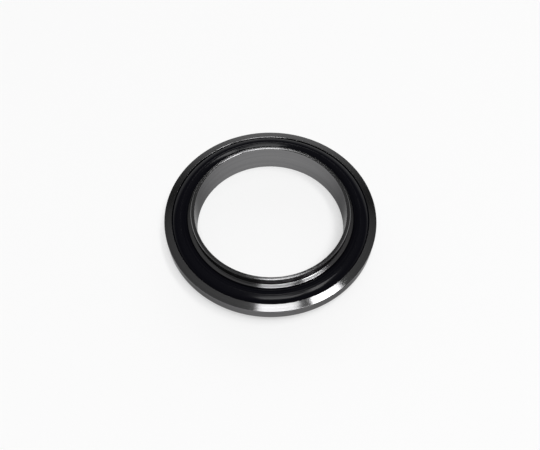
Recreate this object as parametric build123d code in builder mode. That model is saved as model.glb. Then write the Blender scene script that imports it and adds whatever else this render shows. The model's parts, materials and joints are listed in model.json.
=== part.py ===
"""Centring ring assembly for a DN 40 small-flange (KF) vacuum joint.

Three rings share one axis, Z, with the origin at the middle of the assembly:
- centering_ring: turned steel. A collar above and below enters the recess of each flange, and the
  spacer between the collars sets the gap and has a hollow seat for the seal.
- o_ring: the elastomer seal, which stands proud of the spacer on both sides.
- outer_ring: turned steel, bevelled on both sides, which holds the seal in from outside.

Sizes are millimetres. Each ring is placed outwards from the one inside it.
"""

from build123d import *

import os
from math import sqrt

# Shared by the metal rings
SPACER_WIDTH = 3.9  # gap that the closed joint keeps between its two flange faces
SEAT_RELIEF = 0.1  # how much larger the radius of a hollow seat is than the seal's
SEAT_LIP = 0.4  # thickness of the lips that a hollow seat is cut between
EDGE_BREAK = 0.12  # on the edges of those lips

# Centring ring
BORE_DIAMETER = 39.0
RING_HEIGHT = 8.0  # over both collars
COLLAR_WALL = 1.0
BORE_CHAMFER = 0.25
COLLAR_CHAMFER = 0.15
COLLAR_FILLET = 0.2  # tool radius left where a collar meets the spacer
SEAT_FLOOR = 0.5  # from the outside of the collar to the bottom of the seat

# Seal
SEAL_SECTION = 5.0

# Outer ring
FLANGE_CLEARANCE = 0.1  # between each lip of the outer ring and the flange it faces
OUTER_WALL = 1.5  # from the bottom of the seat to the outside
RIM_WIDTH = 3.2  # straight outside, between the two bevels
RIM_FILLET = 0.15

# A hollow seat is part of a circle, and its mouth is where the circle meets the lips
seal_radius = SEAL_SECTION / 2
hollow_radius = seal_radius + SEAT_RELIEF


def mouth_depth(width):
    """How far the mouth of a hollow seat is from the centre of its circle, in a ring of this width."""
    return sqrt(hollow_radius**2 - (width / 2 - SEAT_LIP) ** 2)


bore_radius = BORE_DIAMETER / 2
collar_radius = bore_radius + COLLAR_WALL
seat_radius = collar_radius + SEAT_FLOOR
seat_centre = seat_radius + hollow_radius
spacer_radius = seat_centre - mouth_depth(SPACER_WIDTH)

seal_centre = seat_radius + seal_radius

lip_width = SPACER_WIDTH - 2 * FLANGE_CLEARANCE
outer_seat_radius = seal_centre + seal_radius
outer_seat_centre = outer_seat_radius - hollow_radius
lip_radius = outer_seat_centre + mouth_depth(lip_width)
outer_radius = outer_seat_radius + OUTER_WALL


def corners_at(sketch, radius):
    """The corners of a ring's section that lie at this radius, from the lowest up."""
    tolerance = 1e-6
    corners = sketch.vertices().filter_by_position(Axis.X, radius - tolerance, radius + tolerance)
    return corners.sort_by(Axis.Y)


# The centring ring: a tube for the collars, a wider band for the spacer, and the seal's seat
with BuildPart() as centering_ring:
    with BuildSketch(Plane.XZ) as ring_section:
        with Locations((bore_radius, 0)):
            Rectangle(COLLAR_WALL, RING_HEIGHT, align=(Align.MIN, Align.CENTER))
            Rectangle(spacer_radius - bore_radius, SPACER_WIDTH, align=(Align.MIN, Align.CENTER))
        with Locations((seat_centre, 0)):
            Circle(hollow_radius, mode=Mode.SUBTRACT)
        fillet(corners_at(ring_section, collar_radius)[1:-1], COLLAR_FILLET)
        collar_corners = corners_at(ring_section, collar_radius)
        chamfer([collar_corners[0], collar_corners[-1]], COLLAR_CHAMFER)
        chamfer(corners_at(ring_section, bore_radius), BORE_CHAMFER)
        chamfer(corners_at(ring_section, spacer_radius), EDGE_BREAK)
    revolve(axis=Axis.Z)
centering_ring.part.label = "centering_ring"

# The seal: a plain round-section ring that touches the bottoms of both seats
with BuildPart() as o_ring:
    Torus(seal_centre, seal_radius)
o_ring.part.label = "o_ring"

# The outer ring: bevelled from its lips down to a narrower straight rim, and hollow on the inside
with BuildPart() as outer_ring:
    with BuildSketch(Plane.XZ) as outer_section:
        with BuildLine():
            Polyline(
                (lip_radius, lip_width / 2),
                (outer_radius, RIM_WIDTH / 2),
                (outer_radius, -RIM_WIDTH / 2),
                (lip_radius, -lip_width / 2),
                close=True,
            )
        make_face()
        with Locations((outer_seat_centre, 0)):
            Circle(hollow_radius, mode=Mode.SUBTRACT)
        fillet(corners_at(outer_section, outer_radius), RIM_FILLET)
        chamfer(corners_at(outer_section, lip_radius), EDGE_BREAK)
    revolve(axis=Axis.Z)
outer_ring.part.label = "outer_ring"

os.makedirs("parts", exist_ok=True)
for ring in (centering_ring, o_ring, outer_ring):
    export_step(ring.part, f"parts/{ring.part.label}.step")
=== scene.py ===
"""Looks of a DN 40 centring ring: three rings on one axis, on a pale studio floor.

Each ring is drawn as its section in the XZ plane, on one side of the axis, and spun round Z. Its
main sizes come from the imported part, so it lies where its solid does. Lengths are metres.
"""

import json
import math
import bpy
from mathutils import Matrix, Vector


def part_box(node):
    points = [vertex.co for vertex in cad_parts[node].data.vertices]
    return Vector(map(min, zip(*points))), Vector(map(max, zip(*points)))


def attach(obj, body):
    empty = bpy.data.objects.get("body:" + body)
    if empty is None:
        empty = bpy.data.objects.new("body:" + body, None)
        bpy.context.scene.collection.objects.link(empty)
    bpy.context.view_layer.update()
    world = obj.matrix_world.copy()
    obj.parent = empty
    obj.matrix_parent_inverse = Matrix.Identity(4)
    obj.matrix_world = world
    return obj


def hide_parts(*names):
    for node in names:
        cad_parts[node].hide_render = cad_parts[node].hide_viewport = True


bl_info = {
    "name": "Centring Ring",
    "version": (1, 0, 0),
    "blender": (4, 5, 0),
    "location": "3D View > Sidebar > Centring Ring",
    "description": "Models a vacuum centring ring, its seal, its outer ring and a studio",
    "category": "Mesh",
}

import bmesh
import bpy
from bpy.props import FloatProperty, FloatVectorProperty, IntProperty, PointerProperty
from mathutils import Matrix, Vector

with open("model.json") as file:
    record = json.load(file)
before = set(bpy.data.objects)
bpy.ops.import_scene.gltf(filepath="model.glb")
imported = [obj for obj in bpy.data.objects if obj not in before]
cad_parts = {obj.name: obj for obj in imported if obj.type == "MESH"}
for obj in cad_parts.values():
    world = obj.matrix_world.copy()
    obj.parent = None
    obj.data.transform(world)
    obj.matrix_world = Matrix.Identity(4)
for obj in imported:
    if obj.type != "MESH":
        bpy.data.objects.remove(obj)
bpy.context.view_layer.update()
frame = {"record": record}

MM = 0.001
SAME_PLACE = 0.001 * MM  # corners closer than this are at one place
MOUNTS = {mount["name"]: mount for mount in frame["record"]["mounts"]}


def node_radius(node):
    """The outside radius of a CAD node."""
    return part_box(node)[1].x


def node_top(node):
    """The height of a CAD node's top above the middle of the part."""
    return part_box(node)[1].z


BORE_RADIUS = MOUNTS["bore"]["dims"]["r_mm"] * MM
COLLAR_RADIUS = MOUNTS["upper_collar"]["dims"]["r_mm"] * MM
STOP_HEIGHT = MOUNTS["upper_stop"]["pos_m"][2]
RING_TOP = node_top("centering_ring")
SPACER_RADIUS = node_radius("centering_ring")
SEAL_RADIUS = node_top("o_ring")
SEAL_CENTRE = node_radius("o_ring") - SEAL_RADIUS
OUTER_RADIUS = node_radius("outer_ring")

# How finely a section is drawn, and how its faces are shaded
SEAT_CUTS = 24  # corners added along a hollow seat
SEAL_SIDES = 64
STRAIGHT = math.radians(1)  # two sides that meet within this angle are one
SHARP = math.radians(35)  # faces that meet at more than this angle keep a sharp edge
WIDE_FACE_WEIGHT = 80  # over 50, wide faces count for more in the shading than narrow ones

# Turning marks
FEED = 0.15 * MM  # distance between two marks
MARK_DRIFT = 0.8  # how far a mark wanders on its way round, in feeds

# The floor
FLOOR_RADIUS = 0.6
FLOOR_SIDES = 128
FLOOR_WHITE = 0.5  # share of plain white that the camera, gloss and glass see in the floor

# Lamps, with their centres and sizes as shares of the lamp height
LAMPS = (
    {"name": "lamp behind", "centre": (0.02, 0.48), "size": (0.07, 0.18), "share": 0.9},
    {"name": "lamp overhead", "centre": (0.0365, 0.04), "size": (0.173, 0.32), "share": 0.8},
    {"name": "lamp in front", "centre": (0.1, -0.31), "size": (0.41, 0.38), "share": 1.35},
    {
        "name": "lamp on the right", "centre": (0.353, -0.026), "size": (0.16, 0.56), "share": 1.8,
        "turn": math.radians(24.5),
    },
)

# The surroundings, by direction: how bright each height is, from the ground up. Away from the
# wall behind the part, heights count as higher by WALL_HEIGHT, which leaves a low band there.
BRIGHTNESS = (
    (0.33, 1.0), (0.38, 0.5), (0.46, 0.19), (0.54, 0.09), (0.62, 0.04), (0.68, 0.04),
    (0.77, 0.13), (0.86, 0.19), (0.95, 0.22),
)
HEIGHT_SCALE = 0.7  # brings the heights into the span of the table above
WALL_HEIGHT = 0.36
WALL_FADE = (0.45, 0.8)  # how far back a direction points where the wall starts and is full


# ---------------------------------------------------------------- sizes and colours


class RingSizes(bpy.types.PropertyGroup):
    """Edges of the centring ring that its packed sizes don't give."""

    edge_round: FloatProperty(
        name="Bore edge", description="Rounding of the bore's two edges",
        default=0.2 * MM, min=0.0, unit="LENGTH", precision=5,
    )
    collar_chamfer: FloatProperty(
        name="Collar chamfer",
        description="How far the flat on each collar's outside edge reaches along its sides",
        default=0.15 * MM, min=0.0, unit="LENGTH", precision=5,
    )
    corner_fillet: FloatProperty(
        name="Corner fillet", description="Tool radius left where a collar meets the spacer",
        default=0.2 * MM, min=0.0, unit="LENGTH", precision=5,
    )


class SeatSizes(bpy.types.PropertyGroup):
    """The hollow seats that hold the seal, alike in both metal rings."""

    lip: FloatProperty(
        name="Lip", description="Thickness of the lips on each side of a seat",
        default=0.4 * MM, min=0.1 * MM, unit="LENGTH", precision=5,
    )
    relief: FloatProperty(
        name="Relief", description="How much larger the radius of a seat is than the seal's",
        default=0.1 * MM, min=0.0, unit="LENGTH", precision=5,
    )
    edge_break: FloatProperty(
        name="Edge break", description="Rounding of the edges of the lips that aren't left sharp",
        default=0.12 * MM, min=0.0, unit="LENGTH", precision=5,
    )


class OuterSizes(bpy.types.PropertyGroup):
    """Sizes of the outer ring that its packed box doesn't give."""

    clearance: FloatProperty(
        name="Flange clearance", description="Between each lip and the flange that it faces",
        default=0.1 * MM, min=0.0, unit="LENGTH", precision=5,
    )
    rim_width: FloatProperty(
        name="Rim width", description="Height of the straight outside between its two bevels",
        default=3.2 * MM, min=1.0 * MM, unit="LENGTH", precision=5,
    )
    rim_round: FloatProperty(
        name="Rim edge", description="Rounding of the edges of the rim",
        default=0.15 * MM, min=0.0, unit="LENGTH", precision=5,
    )


class FinishSettings(bpy.types.PropertyGroup):
    """Colours of the steel and of the seal, and how finely the meshes are made."""

    steel: FloatVectorProperty(
        name="Steel", description="Colour of the turned steel",
        default=(0.246, 0.245, 0.248), min=0.0, max=1.0, size=3, subtype="COLOR",
    )
    steel_shade: FloatVectorProperty(
        name="Steel shade", description="Colour of the steel in its darker turning marks",
        default=(0.14, 0.139, 0.142), min=0.0, max=1.0, size=3, subtype="COLOR",
    )
    feed: FloatProperty(
        name="Feed", description="Distance between turning marks",
        default=FEED, min=0.01 * MM, unit="LENGTH", precision=5,
    )
    rubber: FloatVectorProperty(
        name="Rubber", description="Colour of the seal",
        default=(0.0035, 0.0035, 0.0053), min=0.0, max=1.0, size=3, subtype="COLOR",
    )
    steps: IntProperty(
        name="Steps", description="How many times a section is repeated round the axis",
        default=288, min=32, max=720,
    )


class StudioSettings(bpy.types.PropertyGroup):
    """The camera's place, the floor's colour and the lamps."""

    distance: FloatProperty(
        name="Distance", description="From the camera to the middle of the ring",
        default=149.25 * MM, min=0.05, unit="LENGTH",
    )
    elevation: FloatProperty(
        name="Elevation", description="Height of the camera above the horizon",
        default=math.radians(57.65), subtype="ANGLE",
    )
    roll: FloatProperty(
        name="Roll", description="Turn of the camera about its own line of sight",
        default=math.radians(0.63), subtype="ANGLE",
    )
    lens: FloatProperty(
        name="Lens", description="Focal length on a 36 mm wide sensor, in millimetres",
        default=37.9, min=10.0,
    )
    aim: FloatVectorProperty(
        name="Aim", description="Where the camera aims, from the middle of the ring",
        default=(-0.1 * MM, -2.53 * MM, 0.0), size=3, subtype="TRANSLATION", unit="LENGTH",
    )
    floor_colour: FloatVectorProperty(
        name="Floor", description="Colour of the floor",
        default=(0.93, 0.93, 0.93), min=0.0, max=1.0, size=3, subtype="COLOR",
    )
    lamp_height: FloatProperty(
        name="Lamp height", description="Height of the lamps above the floor",
        default=3.0, min=0.5, unit="LENGTH",
    )
    lamp_power: FloatProperty(
        name="Lamp power",
        description="Light from each square metre of a lamp whose share is 1, in watts",
        default=22.8, min=0.0,
    )


# ---------------------------------------------------------------- drawing and spinning a section


def edit(ring):
    """The section's mesh, open in edit mode with nothing selected."""
    bpy.ops.object.mode_set(mode="EDIT")
    bpy.ops.mesh.select_mode(type="VERT")
    bpy.ops.mesh.select_all(action="DESELECT")
    return bmesh.from_edit_mesh(ring.data)


def pick(ring, radius, heights):
    """Selects the section's corners at this radius and these heights, which have to be there."""
    mesh = edit(ring)
    for corner in mesh.verts:
        at_radius = abs(corner.co.x - radius) < SAME_PLACE
        corner.select = at_radius and any(abs(corner.co.z - z) < SAME_PLACE for z in heights)
    found = sum(corner.select for corner in mesh.verts)
    if found != len(heights):
        raise RuntimeError(f"{ring.name}: {found} of {len(heights)} corners at {radius:.6f} m")
    mesh.select_flush(True)
    bmesh.update_edit_mesh(ring.data)


def draw_rectangle(name, inner, outer, height):
    """A new section: a rectangle between two radii, centred on the middle of the part."""
    bpy.ops.object.select_all(action="DESELECT")
    bpy.ops.mesh.primitive_plane_add(
        size=1.0, location=((inner + outer) / 2, 0, 0), rotation=(math.radians(90), 0, 0)
    )
    ring = bpy.context.object
    ring.name = name
    ring.data.name = name
    ring.scale = (outer - inner, height, 1)
    bpy.ops.object.transform_apply(location=True, rotation=True, scale=True)
    return ring


def cut_at(ring, heights):
    """Cuts the section across at these heights, which puts corners on its sides there."""
    edit(ring)
    for height in heights:
        bpy.ops.mesh.select_all(action="SELECT")
        bpy.ops.mesh.bisect(plane_co=(0, 0, height), plane_no=(0, 0, 1))


def make_one_face(ring):
    """Joins the section's faces into one, with no corners left on a straight side."""
    edit(ring)
    bpy.ops.mesh.select_all(action="SELECT")
    bpy.ops.mesh.dissolve_limited(angle_limit=STRAIGHT)


def hollow_side(ring, side, mouth, centre, radius):
    """Hollows the side at this radius, between plus and minus mouth, to a circle about centre."""
    cut_at(ring, (-mouth, mouth))
    make_hollow = math.copysign(1, side - centre)
    pick(ring, side, (-mouth, mouth))
    bpy.ops.mesh.subdivide(number_cuts=SEAT_CUTS)
    mesh = bmesh.from_edit_mesh(ring.data)
    span = math.asin(mouth / radius)
    for corner in mesh.verts:
        if abs(corner.co.x - side) >= SAME_PLACE or abs(corner.co.z) > mouth + SAME_PLACE:
            continue
        angle = span * corner.co.z / mouth
        corner.co.x = centre + make_hollow * radius * math.cos(angle)
        corner.co.z = radius * math.sin(angle)
    bmesh.update_edit_mesh(ring.data)


def round_corners(ring, radius, heights, size, segments=4):
    """Rounds the section's corners at this radius and these heights."""
    pick(ring, radius, heights)
    bpy.ops.mesh.bevel(affect="VERTICES", offset=size, segments=segments, profile=0.5)


def spin_section(ring, steps):
    """Spins the outline of the section round Z into a closed ring, with smooth faces."""
    edit(ring)
    bpy.ops.mesh.select_all(action="SELECT")
    bpy.ops.mesh.delete(type="ONLY_FACE")
    bpy.ops.mesh.select_all(action="SELECT")
    bpy.ops.mesh.spin(steps=steps, angle=math.tau, center=(0, 0, 0), axis=(0, 0, 1))
    bpy.ops.mesh.select_all(action="SELECT")
    bpy.ops.mesh.remove_doubles(threshold=SAME_PLACE)
    bpy.ops.mesh.normals_make_consistent(inside=False)
    bpy.ops.object.mode_set(mode="OBJECT")
    bpy.ops.object.shade_smooth_by_angle(angle=SHARP)
    bpy.ops.object.modifier_add(type="WEIGHTED_NORMAL")
    weights = ring.modifiers[-1]
    weights.weight = WIDE_FACE_WEIGHT
    weights.keep_sharp = True
    bpy.ops.object.modifier_apply(modifier=weights.name)


def finish_piece(piece, node, material):
    """Gives a finished piece its material, and lets it stand for its CAD node."""
    piece.data.materials.clear()
    piece.data.materials.append(material)
    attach(piece, "root")
    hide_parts(node)


# ---------------------------------------------------------------- shader helpers


def add_node(tree, kind, **settings):
    """A new node of this kind with these settings."""
    node = tree.nodes.new(kind)
    for name, value in settings.items():
        setattr(node, name, value)
    return node


def math_node(tree, operation, first, second=None):
    """A Math node of two inputs, each a socket or a number, and its result."""
    node = add_node(tree, "ShaderNodeMath", operation=operation)
    for socket, value in zip(node.inputs, (first, second)):
        if isinstance(value, bpy.types.NodeSocket):
            tree.links.new(value, socket)
        elif value is not None:
            socket.default_value = value
    return node.outputs[0]


def map_range(tree, value, low, high):
    """Spreads a value of 0 to 1 between two numbers."""
    node = add_node(tree, "ShaderNodeMapRange")
    tree.links.new(value, node.inputs["Value"])
    node.inputs["To Min"].default_value = low
    node.inputs["To Max"].default_value = high
    return node.outputs["Result"]


def new_material(name):
    """An empty material, its node tree and its Principled shader, which is joined to the output."""
    material = bpy.data.materials.new(name)
    material.use_nodes = True
    tree = material.node_tree
    tree.nodes.clear()
    output = add_node(tree, "ShaderNodeOutputMaterial")
    shader = add_node(tree, "ShaderNodeBsdfPrincipled")
    tree.links.new(shader.outputs["BSDF"], output.inputs["Surface"])
    return material, tree, shader


def turning_marks_group():
    """Marks that run round Z, from the place on the object, and larger soft patches over them."""
    name = "Turning marks"
    if name in bpy.data.node_groups:
        return bpy.data.node_groups[name]
    group = bpy.data.node_groups.new(name, "ShaderNodeTree")
    feed = group.interface.new_socket("Feed", in_out="INPUT", socket_type="NodeSocketFloat")
    feed.default_value = FEED
    group.interface.new_socket("Marks", in_out="OUTPUT", socket_type="NodeSocketFloat")
    group.interface.new_socket("Patches", in_out="OUTPUT", socket_type="NodeSocketFloat")
    inputs = add_node(group, "NodeGroupInput")
    outputs = add_node(group, "NodeGroupOutput")

    place = add_node(group, "ShaderNodeTexCoord").outputs["Object"]
    axes = add_node(group, "ShaderNodeSeparateXYZ")
    group.links.new(place, axes.inputs[0])
    x, y, z = axes.outputs
    x_squared = math_node(group, "MULTIPLY", x, x)
    y_squared = math_node(group, "MULTIPLY", y, y)
    radius = math_node(group, "SQRT", math_node(group, "ADD", x_squared, y_squared))
    across = math_node(group, "DIVIDE", radius, inputs.outputs["Feed"])
    along = math_node(group, "DIVIDE", z, inputs.outputs["Feed"])
    sideways = math_node(group, "MULTIPLY", math_node(group, "DIVIDE", x, radius), MARK_DRIFT)
    lengthways = math_node(group, "MULTIPLY", math_node(group, "DIVIDE", y, radius), MARK_DRIFT)
    groove = add_node(group, "ShaderNodeCombineXYZ")
    group.links.new(math_node(group, "ADD", across, sideways), groove.inputs[0])
    group.links.new(math_node(group, "ADD", along, lengthways), groove.inputs[1])
    marks = add_node(group, "ShaderNodeTexNoise", noise_dimensions="3D")
    marks.inputs["Scale"].default_value = 0.35
    marks.inputs["Detail"].default_value = 4.0
    marks.inputs["Roughness"].default_value = 0.65
    group.links.new(groove.outputs[0], marks.inputs["Vector"])
    group.links.new(marks.outputs["Fac"], outputs.inputs["Marks"])

    patches = add_node(group, "ShaderNodeTexNoise", noise_dimensions="3D")
    patches.inputs["Scale"].default_value = 140.0
    patches.inputs["Detail"].default_value = 3.0
    group.links.new(place, patches.inputs["Vector"])
    group.links.new(patches.outputs["Fac"], outputs.inputs["Patches"])
    return group


def turned_steel(finish):
    """Stainless steel as it leaves a lathe, with fine marks that spread its shine across them."""
    name = "turned steel"
    if name in bpy.data.materials:
        return bpy.data.materials[name]
    material, tree, steel = new_material(name)
    marks = add_node(tree, "ShaderNodeGroup", node_tree=turning_marks_group())
    marks.inputs["Feed"].default_value = finish.feed

    colour = add_node(tree, "ShaderNodeMix", data_type="RGBA")
    tree.links.new(marks.outputs["Marks"], colour.inputs["Factor"])
    colour.inputs["A"].default_value = (*finish.steel_shade, 1)
    colour.inputs["B"].default_value = (*finish.steel, 1)
    tree.links.new(colour.outputs["Result"], steel.inputs["Base Color"])
    roughness = map_range(tree, marks.outputs["Patches"], low=0.1, high=0.15)
    tree.links.new(roughness, steel.inputs["Roughness"])

    bump = add_node(tree, "ShaderNodeBump")
    bump.inputs["Strength"].default_value = 0.1
    bump.inputs["Distance"].default_value = 0.005 * MM
    tree.links.new(marks.outputs["Marks"], bump.inputs["Height"])
    tree.links.new(bump.outputs["Normal"], steel.inputs["Normal"])

    tangent = add_node(tree, "ShaderNodeTangent", direction_type="RADIAL", axis="Z")
    tree.links.new(tangent.outputs[0], steel.inputs["Tangent"])
    steel.inputs["Metallic"].default_value = 1.0
    steel.inputs["Anisotropic"].default_value = 0.95
    steel.inputs["Anisotropic Rotation"].default_value = 0.25  # a quarter turn from the tangent
    # The tint darkens the steel where it is seen at a low angle
    steel.inputs["Specular Tint"].default_value = (0.36, 0.36, 0.36, 1)
    return material


def seal_rubber(finish):
    """Black moulded elastomer: nearly smooth, with a soft sheen."""
    material, tree, rubber = new_material("seal rubber")
    place = add_node(tree, "ShaderNodeTexCoord").outputs["Object"]
    grain = add_node(tree, "ShaderNodeTexNoise")
    grain.inputs["Scale"].default_value = 6000.0
    grain.inputs["Detail"].default_value = 2.0
    tree.links.new(place, grain.inputs["Vector"])
    cloud = add_node(tree, "ShaderNodeTexNoise")
    cloud.inputs["Scale"].default_value = 260.0
    cloud.inputs["Detail"].default_value = 4.0
    tree.links.new(place, cloud.inputs["Vector"])

    rubber.inputs["Base Color"].default_value = (*finish.rubber, 1)
    roughness = map_range(tree, cloud.outputs["Fac"], low=0.1, high=0.16)
    tree.links.new(roughness, rubber.inputs["Roughness"])
    rubber.inputs["Specular IOR Level"].default_value = 0.093
    bump = add_node(tree, "ShaderNodeBump")
    bump.inputs["Strength"].default_value = 0.15
    bump.inputs["Distance"].default_value = 0.01 * MM
    tree.links.new(grain.outputs["Fac"], bump.inputs["Height"])
    tree.links.new(bump.outputs["Normal"], rubber.inputs["Normal"])
    return material


def floor_paper(studio):
    """Matt pale paper, which takes shadows and is seen nearly white."""
    material, tree, paper = new_material("studio paper")
    paper.inputs["Base Color"].default_value = (*studio.floor_colour, 1)
    paper.inputs["Roughness"].default_value = 1.0
    paper.inputs["Specular IOR Level"].default_value = 0.0

    ray = add_node(tree, "ShaderNodeLightPath").outputs
    seen = math_node(tree, "ADD", ray["Is Camera Ray"], ray["Is Glossy Ray"])
    seen = math_node(tree, "ADD", seen, ray["Is Transmission Ray"])
    glow = add_node(tree, "ShaderNodeEmission")
    mix = add_node(tree, "ShaderNodeMixShader")
    tree.links.new(math_node(tree, "MULTIPLY", seen, FLOOR_WHITE), mix.inputs["Fac"])
    tree.links.new(paper.outputs["BSDF"], mix.inputs[1])
    tree.links.new(glow.outputs[0], mix.inputs[2])
    tree.links.new(mix.outputs[0], tree.nodes["Material Output"].inputs["Surface"])
    return material


# ---------------------------------------------------------------- the three rings


def hollow_radius(seat):
    """Radius of the circle that a hollow seat is part of."""
    return SEAL_RADIUS + seat.relief


class MESH_OT_centering_ring(bpy.types.Operator):
    """Add the centring ring: a collar above and below, and a spacer with the seal's seat"""

    bl_idname = "mesh.centering_ring_add"
    bl_label = "Centring ring"
    bl_options = {"REGISTER", "UNDO"}

    def execute(self, context):
        scene = context.scene
        sizes, seat, finish = scene.ring_sizes, scene.seat_sizes, scene.finish
        ring = draw_rectangle("centering_ring_steel", BORE_RADIUS, COLLAR_RADIUS, 2 * RING_TOP)
        stops = (-STOP_HEIGHT, STOP_HEIGHT)
        ends = (-RING_TOP, RING_TOP)
        cut_at(ring, stops)
        pick(ring, COLLAR_RADIUS, stops)
        bpy.ops.mesh.extrude_region_move(
            TRANSFORM_OT_translate={"value": (SPACER_RADIUS - COLLAR_RADIUS, 0, 0)}
        )
        seat_centre = SEAL_CENTRE - SEAL_RADIUS + hollow_radius(seat)
        mouth = STOP_HEIGHT - seat.lip
        hollow_side(ring, SPACER_RADIUS, mouth, seat_centre, hollow_radius(seat))
        make_one_face(ring)
        # The edges of the seat's mouth, under the seal, stay sharp
        round_corners(ring, SPACER_RADIUS, stops, seat.edge_break)
        round_corners(ring, COLLAR_RADIUS, stops, sizes.corner_fillet)
        round_corners(ring, COLLAR_RADIUS, ends, sizes.collar_chamfer, segments=1)
        round_corners(ring, BORE_RADIUS, ends, sizes.edge_round)
        spin_section(ring, finish.steps)
        finish_piece(ring, "centering_ring", turned_steel(finish))
        return {"FINISHED"}


class MESH_OT_seal(bpy.types.Operator):
    """Add the seal, a ring of round section that lies in both seats"""

    bl_idname = "mesh.centering_seal_add"
    bl_label = "Seal"
    bl_options = {"REGISTER", "UNDO"}

    def execute(self, context):
        finish = context.scene.finish
        bpy.ops.object.select_all(action="DESELECT")
        bpy.ops.mesh.primitive_circle_add(
            vertices=SEAL_SIDES, radius=SEAL_RADIUS, fill_type="NGON",
            location=(SEAL_CENTRE, 0, 0), rotation=(math.radians(90), 0, 0),
        )
        seal = bpy.context.object
        seal.name = "o_ring_rubber"
        seal.data.name = "o_ring_rubber"
        bpy.ops.object.transform_apply(location=True, rotation=True, scale=True)
        spin_section(seal, finish.steps)
        finish_piece(seal, "o_ring", seal_rubber(finish))
        return {"FINISHED"}


class MESH_OT_outer_ring(bpy.types.Operator):
    """Add the outer ring, bevelled from its lips down to its rim and hollow on the inside"""

    bl_idname = "mesh.centering_outer_ring_add"
    bl_label = "Outer ring"
    bl_options = {"REGISTER", "UNDO"}

    def execute(self, context):
        scene = context.scene
        sizes, seat, finish = scene.outer_sizes, scene.seat_sizes, scene.finish
        lip_top = STOP_HEIGHT - sizes.clearance
        rim_top = sizes.rim_width / 2
        mouth = lip_top - seat.lip
        radius = hollow_radius(seat)
        seat_centre = SEAL_CENTRE + SEAL_RADIUS - radius
        lip_radius = seat_centre + math.sqrt(radius**2 - mouth**2)
        ring = draw_rectangle("outer_ring_steel", lip_radius, OUTER_RADIUS, 2 * lip_top)
        pick(ring, OUTER_RADIUS, (-lip_top, lip_top))
        bpy.ops.transform.resize(value=(1, 1, rim_top / lip_top))
        hollow_side(ring, lip_radius, mouth, seat_centre, radius)
        make_one_face(ring)
        round_corners(ring, lip_radius, (-lip_top, lip_top, -mouth, mouth), seat.edge_break)
        round_corners(ring, OUTER_RADIUS, (-rim_top, rim_top), sizes.rim_round)
        spin_section(ring, finish.steps)
        finish_piece(ring, "outer_ring", turned_steel(finish))
        return {"FINISHED"}


# ---------------------------------------------------------------- the studio


def add_floor(studio):
    """A round floor under the part."""
    bpy.ops.object.select_all(action="DESELECT")
    bpy.ops.mesh.primitive_circle_add(
        vertices=FLOOR_SIDES, radius=FLOOR_RADIUS, fill_type="NGON", location=(0, 0, -RING_TOP)
    )
    floor = bpy.context.object
    floor.name = "floor"
    bpy.ops.object.transform_apply(location=True, rotation=True, scale=True)
    floor.data.materials.append(floor_paper(studio))


def add_lamp(studio, name, centre, size, share, turn=0.0):
    """A flat lamp that shines straight down, with its own share of the lamp power."""
    height = studio.lamp_height
    data = bpy.data.lights.new(name, "AREA")
    data.shape = "RECTANGLE"
    data.size = size[0] * height
    data.size_y = size[1] * height
    data.energy = share * studio.lamp_power * data.size * data.size_y
    lamp = bpy.data.objects.new(name, data)
    lamp.location = (centre[0] * height, centre[1] * height, height)
    lamp.rotation_euler = (0, 0, turn)
    bpy.context.scene.collection.objects.link(lamp)


def set_world():
    """White low down all round, with a wall behind the part, then dark, and grey overhead."""
    world = bpy.data.worlds.new("studio")
    world.use_nodes = True
    tree = world.node_tree
    tree.nodes.clear()
    output = add_node(tree, "ShaderNodeOutputWorld")
    background = add_node(tree, "ShaderNodeBackground")
    tree.links.new(background.outputs[0], output.inputs["Surface"])
    place = add_node(tree, "ShaderNodeTexCoord").outputs["Generated"]
    axes = add_node(tree, "ShaderNodeSeparateXYZ")
    tree.links.new(place, axes.inputs[0])
    behind = add_node(tree, "ShaderNodeMapRange", interpolation_type="SMOOTHSTEP")
    tree.links.new(axes.outputs["Y"], behind.inputs["Value"])
    behind.inputs["From Min"].default_value = WALL_FADE[0]
    behind.inputs["From Max"].default_value = WALL_FADE[1]
    behind.inputs["To Min"].default_value = WALL_HEIGHT
    behind.inputs["To Max"].default_value = 0.0
    height = math_node(tree, "ADD", axes.outputs["Z"], behind.outputs["Result"])
    height = math_node(tree, "MULTIPLY", height, HEIGHT_SCALE)
    ramp = add_node(tree, "ShaderNodeValToRGB")
    ramp.color_ramp.interpolation = "EASE"
    elements = ramp.color_ramp.elements
    while len(elements) < len(BRIGHTNESS):
        elements.new(0.5)
    for element, (position, level) in zip(elements, BRIGHTNESS):
        element.position = position
        element.color = (level, level, level, 1)
    tree.links.new(height, ramp.inputs["Fac"])
    tree.links.new(ramp.outputs["Color"], background.inputs["Color"])
    bpy.context.scene.world = world


def add_camera(studio):
    """The camera, aimed a little in front of the part's middle."""
    data = bpy.data.cameras.new("camera")
    data.lens = studio.lens
    data.sensor_width = 36.0
    data.clip_start = 0.01
    camera = bpy.data.objects.new("camera", data)
    elevation = studio.elevation
    camera.location = studio.distance * Vector((0, -math.cos(elevation), math.sin(elevation)))
    sight = Vector(studio.aim) - camera.location
    turn = sight.to_track_quat("-Z", "Y").to_matrix()
    camera.rotation_euler = (turn @ Matrix.Rotation(studio.roll, 3, "Z")).to_euler()
    bpy.context.scene.collection.objects.link(camera)
    bpy.context.scene.camera = camera


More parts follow.
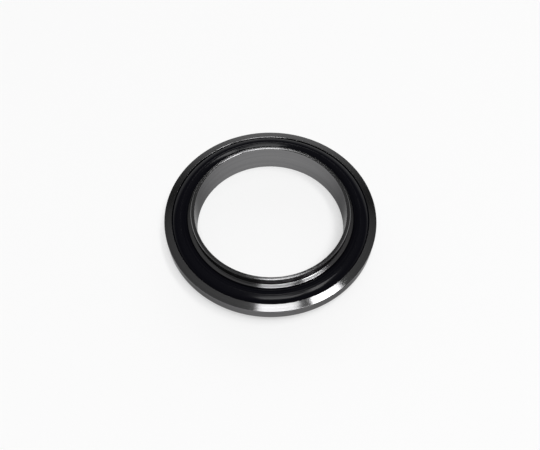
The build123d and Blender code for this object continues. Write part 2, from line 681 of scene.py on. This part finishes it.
class SCENE_OT_ring_studio(bpy.types.Operator):
    """Add the floor, the lamps, the surroundings and the camera"""

    bl_idname = "scene.ring_studio_add"
    bl_label = "Studio"
    bl_options = {"REGISTER", "UNDO"}

    def execute(self, context):
        studio = context.scene.studio
        add_floor(studio)
        for lamp in LAMPS:
            add_lamp(studio, **lamp)
        set_world()
        add_camera(studio)
        context.scene.view_settings.view_transform = "Standard"
        return {"FINISHED"}


# ---------------------------------------------------------------- panel and registration


class VIEW3D_PT_centring_ring(bpy.types.Panel):
    """Lists the pieces and their settings"""

    bl_label = "Centring Ring"
    bl_idname = "VIEW3D_PT_centring_ring"
    bl_space_type = "VIEW_3D"
    bl_region_type = "UI"
    bl_category = "Centring Ring"

    def draw(self, context):
        for operator, *groups in PANEL_ROWS:
            box = self.layout.box()
            box.operator(operator.bl_idname)
            for group in groups:
                settings = getattr(context.scene, group)
                for name in settings.__annotations__:
                    box.prop(settings, name)


SETTINGS = {
    "ring_sizes": RingSizes,
    "seat_sizes": SeatSizes,
    "outer_sizes": OuterSizes,
    "finish": FinishSettings,
    "studio": StudioSettings,
}
PANEL_ROWS = (
    (MESH_OT_centering_ring, "ring_sizes", "seat_sizes"),
    (MESH_OT_seal, "finish"),
    (MESH_OT_outer_ring, "outer_sizes"),
    (SCENE_OT_ring_studio, "studio"),
)
OPERATORS = tuple(row[0] for row in PANEL_ROWS)
CLASSES = (*SETTINGS.values(), *OPERATORS, VIEW3D_PT_centring_ring)


def register():
    """Registers the settings, the operators and the panel, and puts the settings on the scene."""
    for cls in CLASSES:
        bpy.utils.register_class(cls)
    for name, cls in SETTINGS.items():
        setattr(bpy.types.Scene, name, PointerProperty(type=cls))


def unregister():
    """Takes the settings off the scene and unregisters everything."""
    for name in SETTINGS:
        delattr(bpy.types.Scene, name)
    for cls in reversed(CLASSES):
        bpy.utils.unregister_class(cls)


def main():
    """Makes every piece and the studio."""
    register()
    bpy.ops.mesh.centering_ring_add()
    bpy.ops.mesh.centering_seal_add()
    bpy.ops.mesh.centering_outer_ring_add()
    bpy.ops.scene.ring_studio_add()


if __name__ == "__main__":
    main()
